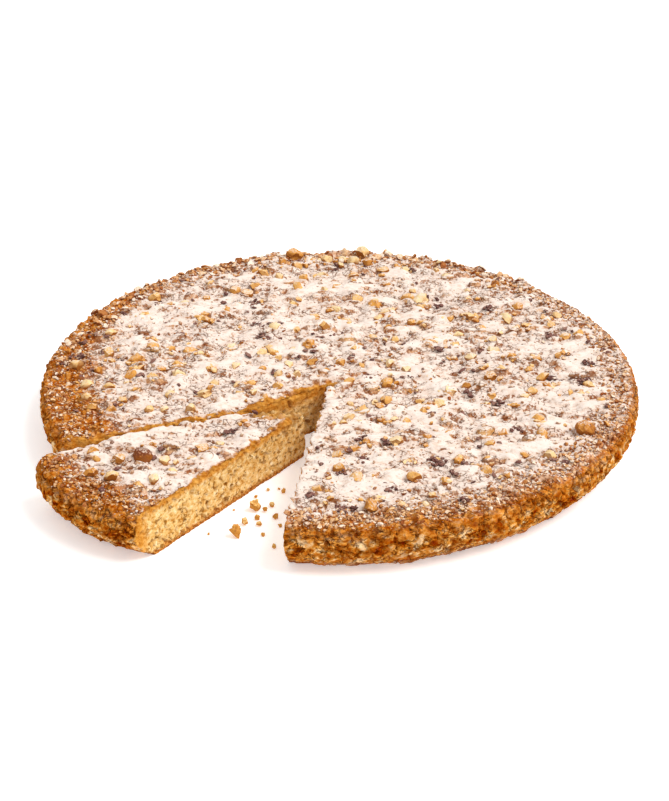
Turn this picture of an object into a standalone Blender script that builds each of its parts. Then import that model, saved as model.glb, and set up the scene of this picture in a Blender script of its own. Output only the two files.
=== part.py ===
"""Low round hazelnut cake with one slice drawn out of its notch, in metres, +Z up.

The origin is the middle of the round cake's flat base, and -Y is the side with the notch.
"""

import math
import random

import bmesh
import bpy
from mathutils import Euler, Matrix, Vector, noise

MM = 0.001

# The round cake as it was baked. Its side leans out from the base, stands upright for a
# little and rolls over a shoulder. The top is almost flat, a little lower in its middle.
ROUND_RADIUS = 140 * MM
BASE_INSET = 11.5 * MM
LEAN_HEIGHT = 12 * MM
LEAN_CURVE = 0.8
UPRIGHT_HEIGHT = 16.5 * MM
SHOULDER_INSET = 6 * MM
SHOULDER_HEIGHT = 24.2 * MM
MIDDLE_HEIGHT = 23.4 * MM
DISH_CURVE = 2.4
LEAN_STEPS = 3
SHOULDER_STEPS = 4
TOP_RINGS = 9
SECTORS = 80

# The notch, in plan. Its right side is one straight knife cut. Its left side is straight
# to the rim too, but near the middle the tip of a slice stayed on the cake.
NOTCH_TIP = (-4.5 * MM, -10 * MM)
RIGHT_CUT_ANGLE = math.radians(-98)
LEFT_CUT_START = (-38 * MM, -36.7 * MM)
LEFT_CUT_ANGLE = math.radians(-158)
TORN_BULGE = 0.5 * MM
TORN_STEPS = 4

# The slice was moved out and turned. Its two cuts would meet at the point, but the last
# of it broke off along a slant. The corners of its rim have crumbled, so that the rim is
# rounder than the cake's and its left corner is taken off.
SLICE_POINT = (-5.7 * MM, -25.6 * MM)
SLICE_RIGHT_ANGLE = math.radians(-126.7)
SLICE_LEFT_ANGLE = math.radians(-158.2)
SLICE_CORNER_START = 100 * MM
SLICE_CORNER_ANGLE = math.radians(-148)
SLICE_CORNER_REACH = 60 * MM
SLICE_LEFT_BREAK = 28.4 * MM
SLICE_RIGHT_BREAK = 16.8 * MM
SLICE_BREAK_BULGE = 1.5 * MM
SLICE_RIM_CENTRE = (-59.5 * MM, -58.9 * MM)
SLICE_RIM_RADIUS = 76.5 * MM
SLICE_SECTORS = 48
SLICE_TOP_RINGS = 6

# Knife cuts through crumb are never quite flat.
CUT_STEP = 11 * MM
CUT_ROUGHNESS = 0.7 * MM
CUT_GRAIN = 6.5 * MM
CUT_GRAIN_OFFSET = Vector((5, 9, 2))
CUT_REACH = 190 * MM
CUT_CORNER_REACH = 250 * MM
CUT_OVERLAP = 8 * MM
CUT_LEVELS = (0, 8 * MM, 16 * MM)

# Low swellings of the top, and the dents of the crumbly side.
SWELL = 0.8 * MM
SWELL_LENGTH = 21 * MM
FINE_SWELL = 0.4 * MM
FINE_SWELL_LENGTH = 9 * MM
SIDE_DENT = 0.6 * MM
SIDE_DENT_LENGTH = 9 * MM
FLAT = 0.1 * MM

# Chopped hazelnuts, pressed into the top.
NUT_SEED = 7
NUT_COUNT = 176
SLICE_NUT_COUNT = 17
NUT_LARGE = 3.9 * MM
NUT_SMALL = 2.1 * MM
NUT_WIDTHS = (0.72, 0.95)
NUT_FLATNESS = 0.72
NUT_TILT = 0.5
NUT_UNEVENNESS = 0.14
NUT_GRAIN = 0.6
NUT_SUNK = 0.28
NUT_CLEAR_OF_RIM = 16 * MM
NUT_CLEAR_OF_CUT = 4 * MM
NUT_GAP = 0.6 * MM
NUT_TRIES = 4000
SMOOTH_ANGLE = math.radians(40)

CRUST_COLOUR = (0.62, 0.42, 0.24)
SLICE_COLOUR = (0.64, 0.44, 0.25)
CRUST_ROUGHNESS = 0.8

# Places, in the round cake's plan, of the pieces that stand out most. The last number is
# a piece's half width.
BIG_NUTS = (
    (109 * MM, -58 * MM, 4.6 * MM),
    (89 * MM, -48 * MM, 4.0 * MM),
    (46 * MM, -32 * MM, 4.2 * MM),
    (41 * MM, 77 * MM, 4.6 * MM),
    (35 * MM, 80 * MM, 4.4 * MM),
    (18 * MM, 70 * MM, 4.4 * MM),
    (-14 * MM, 26 * MM, 4.3 * MM),
    (12 * MM, 131 * MM, 4.8 * MM),
    (-24 * MM, 128 * MM, 4.6 * MM),
    (-96 * MM, 10 * MM, 4.3 * MM),
)
BIG_NUTS_OF_SLICE = ((-85 * MM, -82 * MM, 4.2 * MM),)


def direction(angle):
    return Vector((math.cos(angle), math.sin(angle)))


def side_points(radius):
    """(radius, height) up the side of a round of this radius."""
    points = []
    for step in range(LEAN_STEPS):
        share = step / LEAN_STEPS
        inset = BASE_INSET * (1 - share**LEAN_CURVE)
        points.append((radius - inset, LEAN_HEIGHT * share))
    points.append((radius, LEAN_HEIGHT))
    for step in range(SHOULDER_STEPS + 1):
        turn = 0.5 * math.pi * step / SHOULDER_STEPS
        inset = SHOULDER_INSET * (1 - math.cos(turn))
        height = UPRIGHT_HEIGHT + (SHOULDER_HEIGHT - UPRIGHT_HEIGHT) * math.sin(turn)
        points.append((radius - inset, height))
    return points


def dish_height(share):
    """Height of the smooth top at a share of the way from its middle to its shoulder."""
    return MIDDLE_HEIGHT + (SHOULDER_HEIGHT - MIDDLE_HEIGHT) * min(1, share) ** DISH_CURVE


def swelling(place):
    """How far the top stands above a smooth one."""
    flat = Vector((place.x, place.y, 0))
    broad = SWELL * noise.noise(flat / SWELL_LENGTH)
    return broad + FINE_SWELL * noise.noise(flat / FINE_SWELL_LENGTH)


def top_height(place, centre, radius):
    share = (place - centre).length / (radius - SHOULDER_INSET)
    return dish_height(share) + swelling(place)


def new_object(name, mesh, collection):
    obj = bpy.data.objects.new(name, mesh)
    collection.objects.link(obj)
    return obj


def mesh_of(obj):
    """The object's mesh as its modifiers leave it."""
    graph = bpy.context.evaluated_depsgraph_get()
    return bpy.data.meshes.new_from_object(obj.evaluated_get(graph))


def apply_modifiers(obj):
    obj.data = mesh_of(obj)
    obj.modifiers.clear()


def triangulate(mesh):
    """Splits the faces that roughening leaves bent, so that a cut meets flat ones."""
    form = bmesh.new()
    form.from_mesh(mesh)
    bmesh.ops.triangulate(form, faces=form.faces)
    form.to_mesh(mesh)
    form.free()


def turned_round(name, centre, radius, rings, sectors, collection):
    """A whole round as a closed mesh: a profile turned by a Screw modifier."""
    shoulder = radius - SHOULDER_INSET
    shares = [1 - ring / rings for ring in range(1, rings + 1)]
    top = [(shoulder * share, dish_height(share)) for share in shares]
    profile = [(0, 0)] + side_points(radius) + top
    # A Screw profile at +X runs down its outer side.
    profile.reverse()
    mesh = bpy.data.meshes.new(name)
    points = [(distance, 0, height) for distance, height in profile]
    edges = [(n, n + 1) for n in range(len(points) - 1)]
    mesh.from_pydata(points, edges, [])
    obj = new_object(name, mesh, collection)
    screw = obj.modifiers.new("turn", "SCREW")
    screw.steps = screw.render_steps = sectors
    screw.use_merge_vertices = True
    screw.merge_threshold = 0.00005
    apply_modifiers(obj)
    roughen(obj, centre, radius)
    triangulate(obj.data)
    obj.data.transform(Matrix.Translation(centre.to_3d()))
    return obj


def roughen(obj, centre, radius):
    """Swells the top and dents the side of a round. Its base stays flat."""
    for vertex in obj.data.vertices:
        place = vertex.co
        distance = place.xy.length
        if place.z < FLAT:
            continue
        if distance < radius - SHOULDER_INSET + FLAT:
            place.z += swelling(place.xy + centre)
            continue
        dent = SIDE_DENT * noise.noise(place / SIDE_DENT_LENGTH)
        scale = (min(distance, radius - SIDE_DENT) + dent) / distance
        place.x *= scale
        place.y *= scale


def stepped(start, end):
    """Points from start towards end, a cut step apart, without the last."""
    count = max(1, round((end - start).length / CUT_STEP))
    return [start.lerp(end, n / count) for n in range(count)]


def torn_edge():
    """The curved stretch of the notch's left side, from its tip to the straight cut."""
    start, end = Vector(NOTCH_TIP), Vector(LEFT_CUT_START)
    across = (end - start).orthogonal().normalized()
    points = []
    for step in range(TORN_STEPS):
        share = step / TORN_STEPS
        bulge = TORN_BULGE * math.sin(math.pi * share)
        points.append(start.lerp(end, share) + across * bulge)
    return points


def notch_outline():
    tip, left = Vector(NOTCH_TIP), Vector(LEFT_CUT_START)
    right_end = tip + direction(RIGHT_CUT_ANGLE) * CUT_REACH
    left_end = left + direction(LEFT_CUT_ANGLE) * CUT_REACH
    corner = (right_end + left_end).normalized() * CUT_CORNER_REACH
    outer = [left_end, corner]
    return torn_edge() + stepped(left, left_end) + outer + stepped(right_end, tip)


def slice_corner():
    """Where the slice's left cut turns inwards."""
    return Vector(SLICE_POINT) + direction(SLICE_LEFT_ANGLE) * SLICE_CORNER_START


def slice_outline():
    """A sector whose point is broken off along a slant."""
    point = Vector(SLICE_POINT)
    left, right = direction(SLICE_LEFT_ANGLE), direction(SLICE_RIGHT_ANGLE)
    left_break = point + left * SLICE_LEFT_BREAK
    right_break = point + right * SLICE_RIGHT_BREAK
    inwards = (left + right).normalized()
    middle = (left_break + right_break) / 2 - inwards * SLICE_BREAK_BULGE
    corner = slice_corner()
    left_end = corner + direction(SLICE_CORNER_ANGLE) * SLICE_CORNER_REACH
    right_end = point + right * CUT_REACH
    left_side = stepped(left_break, corner) + stepped(corner, left_end) + [left_end]
    return [middle] + left_side + stepped(right_end, right_break) + [right_break]


def rough_prism(name, outline, collection):
    """A tall prism over a plan outline, whose walls are uneven like cut crumb."""
    levels = [-CUT_OVERLAP, *CUT_LEVELS, SHOULDER_HEIGHT + CUT_OVERLAP]
    form = bmesh.new()
    low = [form.verts.new((place.x, place.y, levels[0])) for place in outline]
    edges = [form.edges.new((low[n - 1], low[n])) for n in range(len(low))]
    form.faces.new(low)
    for lower, upper in zip(levels, levels[1:]):
        grown = bmesh.ops.extrude_edge_only(form, edges=edges)["geom"]
        edges = [item for item in grown if isinstance(item, bmesh.types.BMEdge)]
        ring = [item for item in grown if isinstance(item, bmesh.types.BMVert)]
        bmesh.ops.translate(form, verts=ring, vec=(0, 0, upper - lower))
    bmesh.ops.contextual_create(form, geom=edges)
    bmesh.ops.recalc_face_normals(form, faces=form.faces)
    for vertex in form.verts:
        place = vertex.co / CUT_GRAIN
        vertex.co.x += CUT_ROUGHNESS * noise.noise(place)
        vertex.co.y += CUT_ROUGHNESS * noise.noise(place + CUT_GRAIN_OFFSET)
    mesh = bpy.data.meshes.new(name)
    form.to_mesh(mesh)
    form.free()
    triangulate(mesh)
    cutter = new_object(name, mesh, collection)
    cutter.hide_render = True
    cutter.display_type = "WIRE"
    return cutter


def cut(obj, cutter, operation):
    """Cuts obj with the prism, or keeps only what is inside it, and applies that."""
    boolean = obj.modifiers.new(cutter.name, "BOOLEAN")
    boolean.operation = operation
    boolean.solver = "EXACT"
    boolean.object = cutter
    apply_modifiers(obj)


def distance_to_line(place, start, angle):
    """Signed distance of a place from a line, positive on the line's left."""
    along = direction(angle)
    across = Vector((-along.y, along.x))
    return (place - Vector(start)).dot(across)


def on_cake(place):
    """Whether a nut at this place lies clear of the notch and of the rim."""
    if place.length > ROUND_RADIUS - NUT_CLEAR_OF_RIM:
        return False
    right = distance_to_line(place, NOTCH_TIP, RIGHT_CUT_ANGLE)
    left = distance_to_line(place, LEFT_CUT_START, LEFT_CUT_ANGLE)
    torn = Vector(NOTCH_TIP) - Vector(LEFT_CUT_START)
    tear = distance_to_line(place, LEFT_CUT_START, math.atan2(torn.y, torn.x))
    clear = NUT_CLEAR_OF_CUT + NUT_LARGE
    return right > clear or (left < -clear and tear > clear + TORN_BULGE)


def on_slice(place):
    """Whether a nut at this place lies clear of the slice's sides, point and rim."""
    if (place - Vector(SLICE_POINT)).length < SLICE_LEFT_BREAK + NUT_CLEAR_OF_CUT:
        return False
    if (place - Vector(SLICE_RIM_CENTRE)).length > SLICE_RIM_RADIUS - NUT_CLEAR_OF_RIM:
        return False
    right = distance_to_line(place, SLICE_POINT, SLICE_RIGHT_ANGLE)
    left = distance_to_line(place, SLICE_POINT, SLICE_LEFT_ANGLE)
    corner = distance_to_line(place, slice_corner(), SLICE_CORNER_ANGLE)
    clear = NUT_CLEAR_OF_CUT + NUT_LARGE
    return right < -clear and min(left, corner) > clear


def scattered(allowed, named, count, chance):
    """(place, half width) of each nut: the named ones, then random ones, largest first."""
    nuts = [(Vector((x, y)), size) for x, y, size in named]
    for _ in range(NUT_TRIES):
        if len(nuts) >= count:
            break
        share = len(nuts) / count
        size = NUT_LARGE + (NUT_SMALL - NUT_LARGE) * share
        place = Vector((chance.uniform(-1, 1), chance.uniform(-1, 1))) * ROUND_RADIUS
        apart = all((place - other).length > size + width + NUT_GAP for other, width in nuts)
        if apart and allowed(place):
            nuts.append((place, size))
    return nuts


def nut_object(name, place, height, size, chance, collection):
    """One few-sided lump, bedded in a top of this height."""
    form = bmesh.new()
    bmesh.ops.create_icosphere(form, subdivisions=1, radius=1)
    offset = Vector((chance.uniform(0, 99), 0, 0))
    for vertex in form.verts:
        vertex.co *= 1 + NUT_UNEVENNESS * noise.noise(vertex.co / NUT_GRAIN + offset)
    stretch = Vector((size, size * chance.uniform(*NUT_WIDTHS), size * NUT_FLATNESS, 1))
    tilt = chance.uniform(-NUT_TILT, NUT_TILT), chance.uniform(-NUT_TILT, NUT_TILT)
    turn = Euler((*tilt, chance.uniform(0, 2 * math.pi)))
    shape = turn.to_matrix().to_4x4() @ Matrix.Diagonal(stretch)
    bmesh.ops.transform(form, matrix=shape, verts=form.verts)
    rise = height + size * NUT_FLATNESS * (1 - 2 * NUT_SUNK)
    bmesh.ops.translate(form, verts=form.verts, vec=(place.x, place.y, rise))
    mesh = bpy.data.meshes.new(name)
    form.to_mesh(mesh)
    form.free()
    new_object(name, mesh, collection)


def fuse_nuts(obj, nuts, centre, radius, chance):
    """Joins the nuts to the food they lie on, as one solid."""
    collection = bpy.data.collections.new("nuts")
    bpy.context.scene.collection.children.link(collection)
    for number, (place, size) in enumerate(nuts):
        height = top_height(place, centre, radius)
        nut_object(f"nut_{number:03d}", place, height, size, chance, collection)
    boolean = obj.modifiers.new("nuts", "BOOLEAN")
    boolean.operation = "UNION"
    boolean.operand_type = "COLLECTION"
    boolean.collection = collection
    boolean.solver = "EXACT"
    apply_modifiers(obj)
    for nut in list(collection.objects):
        bpy.data.objects.remove(nut)
    bpy.data.collections.remove(collection)


def crust_material(name, colour):
    """Browned crust under a dusting of sugar."""
    material = bpy.data.materials.new(name)
    material.use_nodes = True
    shader = material.node_tree.nodes["Principled BSDF"]
    shader.inputs["Base Color"].default_value = (*colour, 1)
    shader.inputs["Roughness"].default_value = CRUST_ROUGHNESS
    return material


def make_round_cake(collection, cutters, chance):
    centre = Vector((0, 0))
    cake = turned_round("cake", centre, ROUND_RADIUS, TOP_RINGS, SECTORS, collection)
    cut(cake, rough_prism("notch_cutter", notch_outline(), cutters), "DIFFERENCE")
    nuts = scattered(on_cake, BIG_NUTS, NUT_COUNT, chance)
    fuse_nuts(cake, nuts, centre, ROUND_RADIUS, chance)
    cake.data.materials.append(crust_material("sugared_crust", CRUST_COLOUR))


def make_slice(collection, cutters, chance):
    centre, radius = Vector(SLICE_RIM_CENTRE), SLICE_RIM_RADIUS
    piece = turned_round("slice", centre, radius, SLICE_TOP_RINGS, SLICE_SECTORS, collection)
    cut(piece, rough_prism("slice_keeper", slice_outline(), cutters), "INTERSECT")
    nuts = scattered(on_slice, BIG_NUTS_OF_SLICE, SLICE_NUT_COUNT, chance)
    fuse_nuts(piece, nuts, centre, radius, chance)
    piece.data.materials.append(crust_material("sugared_slice", SLICE_COLOUR))


def shade(obj):
    """Smooth where the crust rolls over, sharp at the cuts."""
    obj.data.shade_smooth()
    obj.data.set_sharp_from_angle(angle=SMOOTH_ANGLE)


def main():
    for obj in list(bpy.data.objects):
        bpy.data.objects.remove(obj)
    parts = bpy.data.collections.new("hazelnut_cake")
    cutters = bpy.data.collections.new("cutters")
    for collection in (parts, cutters):
        bpy.context.scene.collection.children.link(collection)
    chance = random.Random(NUT_SEED)
    make_round_cake(parts, cutters, chance)
    make_slice(parts, cutters, chance)
    for obj in parts.objects:
        shade(obj)


main()
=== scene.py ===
"""Looks of the low round hazelnut cake with one slice drawn out of its notch."""

import math
import random

import bmesh
import bpy
import numpy as np
from mathutils import Euler, Matrix, Vector, noise
from mathutils.bvhtree import BVHTree


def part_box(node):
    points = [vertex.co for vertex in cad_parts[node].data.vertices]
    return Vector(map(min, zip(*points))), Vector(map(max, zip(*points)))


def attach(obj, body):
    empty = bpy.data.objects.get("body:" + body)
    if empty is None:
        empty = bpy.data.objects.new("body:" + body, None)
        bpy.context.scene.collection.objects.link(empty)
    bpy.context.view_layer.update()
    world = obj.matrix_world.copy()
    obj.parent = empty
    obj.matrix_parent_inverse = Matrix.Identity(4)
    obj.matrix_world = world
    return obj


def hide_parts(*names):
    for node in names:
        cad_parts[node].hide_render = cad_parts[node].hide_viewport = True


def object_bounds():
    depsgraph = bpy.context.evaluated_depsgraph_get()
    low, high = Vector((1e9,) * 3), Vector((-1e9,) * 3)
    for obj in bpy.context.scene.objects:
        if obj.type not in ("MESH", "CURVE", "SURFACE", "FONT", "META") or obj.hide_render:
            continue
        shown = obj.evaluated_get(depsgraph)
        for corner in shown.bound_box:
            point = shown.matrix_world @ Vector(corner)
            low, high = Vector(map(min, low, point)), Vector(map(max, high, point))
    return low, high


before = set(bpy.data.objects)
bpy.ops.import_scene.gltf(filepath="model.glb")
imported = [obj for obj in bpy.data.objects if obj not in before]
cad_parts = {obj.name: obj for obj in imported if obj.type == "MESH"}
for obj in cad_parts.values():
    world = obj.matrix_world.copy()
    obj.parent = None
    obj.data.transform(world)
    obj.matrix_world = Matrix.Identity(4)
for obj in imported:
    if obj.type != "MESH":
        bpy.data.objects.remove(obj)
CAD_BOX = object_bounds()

MM = 0.001
TINY = 0.001

# The cake and its slice, in mm, as they stand in the frame.
ROUND_RADIUS = 140
SHOULDER_INSET = 6
SHOULDER_HEIGHT = 24.2
MIDDLE_HEIGHT = 23.4
DISH_CURVE = 2.4
NOTCH_TIP = Vector((-4.5, -10))
RIGHT_CUT_ANGLE = math.radians(-98)
LEFT_CUT_START = Vector((-38, -36.7))
LEFT_CUT_ANGLE = math.radians(-158)
TORN_BULGE = 0.5
SLICE_POINT = Vector((-5.7, -25.6))
SLICE_RIGHT_ANGLE = math.radians(-126.7)
SLICE_LEFT_ANGLE = math.radians(-158.2)
SLICE_CORNER_START = 100
SLICE_CORNER_ANGLE = math.radians(-148)
SLICE_LEFT_BREAK = 28.4
SLICE_RIGHT_BREAK = 16.8
CUT_REACH = 190
SLICE_RIM_CENTRE = Vector((-59.5, -58.9))
SLICE_RIM_RADIUS = 76.5
SWELL = 0.8
SWELL_LENGTH = 21
FINE_SWELL = 0.4
FINE_SWELL_LENGTH = 9

# Nuts that the frame's solids carry, drawn again in the same order.
NUT_SEED = 7
NUT_COUNT = 176
SLICE_NUT_COUNT = 17
NUT_LARGE = 3.9
NUT_SMALL = 2.1
NUT_WIDTHS = (0.72, 0.95)
NUT_FLATNESS = 0.72
NUT_TILT = 0.5
NUT_GRAIN = 0.6
NUT_SUNK = 0.28
NUT_CLEAR_OF_RIM = 16
NUT_CLEAR_OF_CUT = 4
NUT_GAP = 0.6
NUT_TRIES = 4000
BIG_NUTS = (
    (109, -58, 4.6),
    (89, -48, 4.0),
    (46, -32, 4.2),
    (41, 77, 4.6),
    (35, 80, 4.4),
    (18, 70, 4.4),
    (-14, 26, 4.3),
    (12, 131, 4.8),
    (-24, 128, 4.6),
    (-96, 10, 4.3),
)
BIG_NUTS_OF_SLICE = ((-85, -82, 4.2),)
BROWN_NUTS = {(109, -58): 0.15, (-85, -82): -0.25}

# Where nuts and dark bits lie together, in mm: (x, y, half width).
NUT_CLUSTERS = (
    (-99, 56, 2.0), (-103, 46, 1.7), (-90, 31, 2.9), (-96, 5, 3.8), (-82, 20, 3.4), (-75, 7, 2.4),
    (-66, 17, 3.3), (-61, 3, 3.8), (-66, 52, 4.4), (-55, 21, 2.4), (-49, 46, 2.5), (-52, 72, 2.0),
    (-83, -9, 2.3), (-44, -14, 3.7), (-34, -26, 3.2), (-33, 20, 4.3), (-12, 23, 3.4),
    (-12, 58, 3.5), (-42, 94, 2.1), (-66, 96, 2.6), (-98, -13, 1.9), (-10, 106, 3.6),
    (25, 96, 2.6), (18, 72, 3.3), (24, 63, 5.0), (-1, 65, 4.2), (43, 71, 3.5), (80, 94, 4.4),
    (65, 56, 4.5), (55, 55, 3.0), (41, 50, 3.2), (54, 38, 2.2), (91, 46, 3.9), (44, 30, 3.9),
    (51, 26, 3.4), (54, 13, 2.4), (82, 15, 3.3), (94, 12, 3.3), (107, 18, 3.1), (11, 5, 2.6),
    (24, -7, 2.8), (42, -5, 3.3), (69, 3, 3.1), (75, -9, 2.3), (96, -16, 3.7), (110, -25, 4.1),
    (85, -25, 2.7), (17, -18, 2.1), (42, -33, 4.1), (16, -31, 2.3), (47, -31, 2.5),
    (67, -32, 2.0), (79, -34, 2.7), (48, -49, 2.7), (9, -49, 2.5), (19, -45, 1.8), (38, -53, 1.6),
    (89, -50, 3.3), (-8, -63, 2.0), (12, -68, 3.1), (40, -67, 3.9), (56, -64, 2.2), (0, -83, 2.4),
    (30, -84, 3.0), (52, -82, 3.0), (60, -89, 3.4), (73, -81, 3.0), (21, -93, 2.8),
    (-5, -97, 2.5), (46, -101, 2.5), (15, -107, 1.7), (-5, -109, 1.9), (9, -117, 2.1),
    (16, -115, 3.3), (26, -120, 2.7), (36, -121, 2.5), (21, -127, 3.1), (31, -128, 3.3),
    (53, -126, 2.9), (64, -123, 3.5), (40, -123, 1.9), (-30, 118, 3.2), (-14, 124, 3.6),
    (2, 126, 3.0), (16, 121, 3.4), (-44, 113, 2.8), (30, 117, 2.6),
)
DARK_CLUSTERS = (
    (19, -37, 3.6), (43, -84, 4.7), (79, -56, 3.3), (10, -83, 2.8), (51, -117, 2.5),
    (21, -107, 3.2), (3, -123, 4.1), (-12, -111, 2.3), (-13, -131, 1.8), (-29, -2, 2.6),
    (-38, 49, 4.9), (-29, 51, 2.0), (-36, 35, 4.4), (-10, 36, 2.2), (-43, 71, 3.5), (-92, 72, 3.0),
    (-76, 81, 3.6), (-125, 12, 3.3), (-119, 8, 2.4), (-112, 18, 1.9), (-131, 5, 2.1),
    (-124, 38, 2.2), (-124, 28, 1.7), (-93, -5, 1.9), (-2, 112, 2.1), (14, 116, 1.8),
    (10, 95, 1.5), (38, 111, 2.1), (44, 80, 1.8), (50, 70, 2.0), (83, 76, 3.5), (75, 66, 2.5),
    (93, 77, 3.5), (103, 37, 2.9), (108, 58, 3.0), (33, 29, 2.9), (50, 23, 3.4), (5, 39, 3.4),
    (-4, 37, 2.4), (66, 22, 3.1), (13, -6, 2.8), (32, -7, 2.8), (40, 3, 1.9), (101, -11, 2.8),
    (112, -11, 5.1), (118, 6, 3.3), (54, -32, 1.8), (72, -31, 3.0), (127, 18, 2.4),
    (55, -87, 2.1), (49, -94, 2.1), (60, -23, 2.8), (6, 14, 2.9), (9, -65, 2.0), (21, -67, 2.2),
    (-6, -86, 2.6), (1, -95, 2.1), (-21, 122, 2.6), (-78, 37, 2.9), (-68, 33, 2.9),
    (41, -42, 1.8), (-48, -58, 2.6),
)


def linear(colour):
    """A linear RGBA colour from an sRGB hex value."""
    parts = [int(colour[n : n + 2], 16) / 255 for n in (1, 3, 5)]
    return (*[p / 12.92 if p <= 0.04045 else ((p + 0.055) / 1.055) ** 2.4 for p in parts], 1)


def add(tree, kind, *inputs, out=0, stops=(), **settings):
    """Adds a node with its settings and a ramp's stops, and gives one of its outputs back.
    Its inputs come in order, or by name or number in a dictionary, as links or values."""
    node = tree.nodes.new("ShaderNode" + kind)
    for name, value in settings.items():
        setattr(node, name, value)
    if stops:
        ramp = node.color_ramp.elements
        while len(ramp) < len(stops):
            ramp.new(0.5)
        for element, (place, colour) in zip(ramp, stops):
            element.position = place
            element.color = linear(colour)
    for number, given in enumerate(inputs):
        named = given if isinstance(given, dict) else {number: given}
        for name, value in named.items():
            if isinstance(value, bpy.types.NodeSocket):
                tree.links.new(value, node.inputs[name])
            else:
                node.inputs[name].default_value = value
    return node.outputs[out]


def total(tree, start, *terms):
    """A start with patterns added to it, each by its weight. Either may be a pattern."""
    for pattern, weight in terms:
        start = add(tree, "Math", pattern, weight, start, operation="MULTIPLY_ADD")
    return start


def mask(tree, *steps):
    """A share that falls softly to 0 where a pattern is short of its first value, and is 1
    where every pattern is past its second one."""
    share = 1.0
    for pattern, none, full in steps:
        step = add(tree, "MapRange", pattern, none, full, interpolation_type="SMOOTHSTEP")
        share = total(tree, 0, (step, share))
    return share


def coated(tree, colour, *coats):
    """A colour with coats laid over it, each as (where, how strongly, its colour)."""
    for where, strength, coat in coats:
        share = total(tree, 0, (where, strength))
        coat = linear(coat) if isinstance(coat, str) else coat
        colour = add(tree, "Mix", {0: share, 6: colour, 7: coat}, out=2, data_type="RGBA")
    return colour


def smoothstep(low, high, value):
    share = np.clip((value - low) / (high - low), 0, 1)
    return share * share * (3 - 2 * share)


def grain(points, length, offset=0.0):
    """Noise between about -1 and 1 at each point, with lumps about this many mm apart."""
    shift = Vector((offset, offset * 0.7, offset * 1.3))
    return np.array([noise.noise(Vector(p) / length + shift) for p in points])


def direction(angle):
    return Vector((math.cos(angle), math.sin(angle)))


def distance_to_line(place, start, angle):
    """Signed distance of a place from a line, positive on the line's left."""
    along = direction(angle)
    return (place - start).dot(Vector((-along.y, along.x)))


def top_height(place, centre, radius):
    share = min(1, (place - centre).length / (radius - SHOULDER_INSET))
    dish = MIDDLE_HEIGHT + (SHOULDER_HEIGHT - MIDDLE_HEIGHT) * share**DISH_CURVE
    flat = Vector((place.x, place.y, 0))
    swell = SWELL * noise.noise(flat / SWELL_LENGTH)
    return dish + swell + FINE_SWELL * noise.noise(flat / FINE_SWELL_LENGTH)


def on_cake(place, rim=NUT_CLEAR_OF_RIM, clear=NUT_CLEAR_OF_CUT + NUT_LARGE):
    """Whether a lump at this place lies clear of the notch and of the rim."""
    if place.length > ROUND_RADIUS - rim:
        return False
    right = distance_to_line(place, NOTCH_TIP, RIGHT_CUT_ANGLE)
    left = distance_to_line(place, LEFT_CUT_START, LEFT_CUT_ANGLE)
    torn = NOTCH_TIP - LEFT_CUT_START
    tear = distance_to_line(place, LEFT_CUT_START, math.atan2(torn.y, torn.x))
    return right > clear or (left < -clear and tear > clear + TORN_BULGE)


def on_slice(place, rim=NUT_CLEAR_OF_RIM, clear=NUT_CLEAR_OF_CUT + NUT_LARGE):
    """Whether a lump at this place lies clear of the slice's sides, point and rim."""
    if (place - SLICE_POINT).length < SLICE_LEFT_BREAK + clear - NUT_LARGE:
        return False
    if (place - SLICE_RIM_CENTRE).length > SLICE_RIM_RADIUS - rim:
        return False
    right = distance_to_line(place, SLICE_POINT, SLICE_RIGHT_ANGLE)
    left = distance_to_line(place, SLICE_POINT, SLICE_LEFT_ANGLE)
    turned = SLICE_POINT + direction(SLICE_LEFT_ANGLE) * SLICE_CORNER_START
    corner = distance_to_line(place, turned, SLICE_CORNER_ANGLE)
    return right < -clear and min(left, corner) > clear


def scattered(allowed, named, count, chance):
    """(place, half width) of each nut: the named ones, then random ones, largest first."""
    nuts = [(Vector((x, y)), size) for x, y, size in named]
    for _ in range(NUT_TRIES):
        if len(nuts) >= count:
            break
        share = len(nuts) / count
        size = NUT_LARGE + (NUT_SMALL - NUT_LARGE) * share
        place = Vector((chance.uniform(-1, 1), chance.uniform(-1, 1))) * ROUND_RADIUS
        apart = all((place - other).length > size + width + NUT_GAP for other, width in nuts)
        if apart and allowed(place):
            nuts.append((place, size))
    return nuts


# Bodies

# Each body's finish: how much sugar lies there and whether thickly, whether it is wall or
# cut, how browned it is, where it is cracked and how much shade is painted into its hollows
# (the crack finish), and where nuts or dark bits lie under it.
FINISHES = ("sugar", "thick", "side", "cut", "bake", "crack", "nutty", "dusky")
MOST_TRIANGLES = 196000
CAKE_VOXEL = 0.86
SLICE_VOXEL = 0.62
MOUND_CELL = 8
DRAWN_OUT = (0.62, 1, 1)  # the crags of the top are wider than they are deep
RIPPLE = (0.36, 1, 1)  # and so are the ripples that spreading left
NUT_SCAR = 0.1  # how much of a nut's lump stays on the body
WALL_DEPTH = 14  # how far in from the rim the wall and its shoulder reach
FACING_OUT = 0.75  # share of a normal that points away from the middle, on the wall
UPRIGHT = (0.45, 0.8)  # share of a normal that lies level, from the top to a wall
CUT_BELOW = 1.0  # the cut faces start this far under the top
FOOT_HEIGHT = 1.0  # below this the relief is only half as deep
FRAY_FADE = 2.2
CRUMBLED_REACH = (5, 11)  # distance from the broken point where the food crumbled
SUGAR_FADE = (-18, 12)  # the dusting thins out between these distances from its edge
THICK_RISE = 0.5  # how high a thick drift of sugar lies on the crust
CAKE_TOAST, SLICE_TOAST = 8, 3.8  # depth of the golden band under the crust
CAKE_FRAY, SLICE_FRAY = 4.6, 2.4  # width of the frayed strip along a cut edge
CAKE_RICHNESS, SLICE_RICHNESS = 1, 1.25  # how richly each is dusted

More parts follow.
